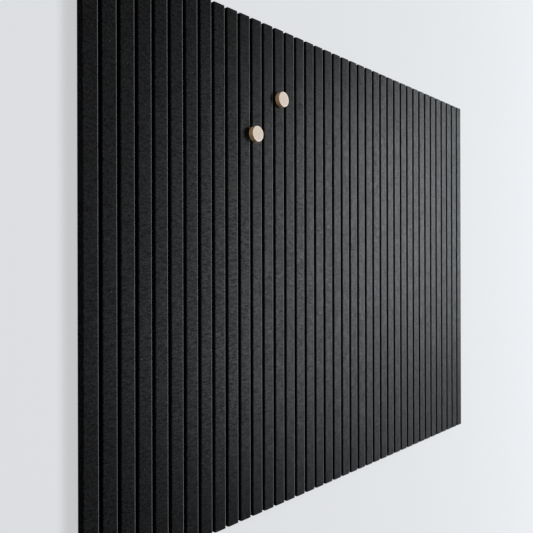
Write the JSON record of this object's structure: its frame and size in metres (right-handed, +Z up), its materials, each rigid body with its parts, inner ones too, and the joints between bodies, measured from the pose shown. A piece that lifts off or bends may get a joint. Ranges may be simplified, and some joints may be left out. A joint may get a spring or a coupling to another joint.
{
  "type": "acoustic slat wall panel",
  "caption": "Black pressed-felt acoustic wall panel, milled with straight upright grooves that leave flat slats, with round wooden push pins stuck in its face.",
  "frame": {"origin": "middle of the flat back face, where the panel meets the wall", "axes": "+X along the width, to the right as seen from the front; +Y out of the back face, into the wall; +Z up along the slats; the slats face -Y"},
  "size_m": [0.8, 0.0163, 0.6],
  "materials": {
    "felt": "matte needled polyester felt, black",
    "pin_wood": "sanded pale beech, unvarnished",
    "pin_steel": "drawn steel wire"
  },
  "bodies": {
    "root": {"felt_board": "felt", "upper_pin_head": "pin_wood", "upper_pin_needle": "pin_steel", "lower_pin_head": "pin_wood", "lower_pin_needle": "pin_steel"}
  },
  "joints": []
}
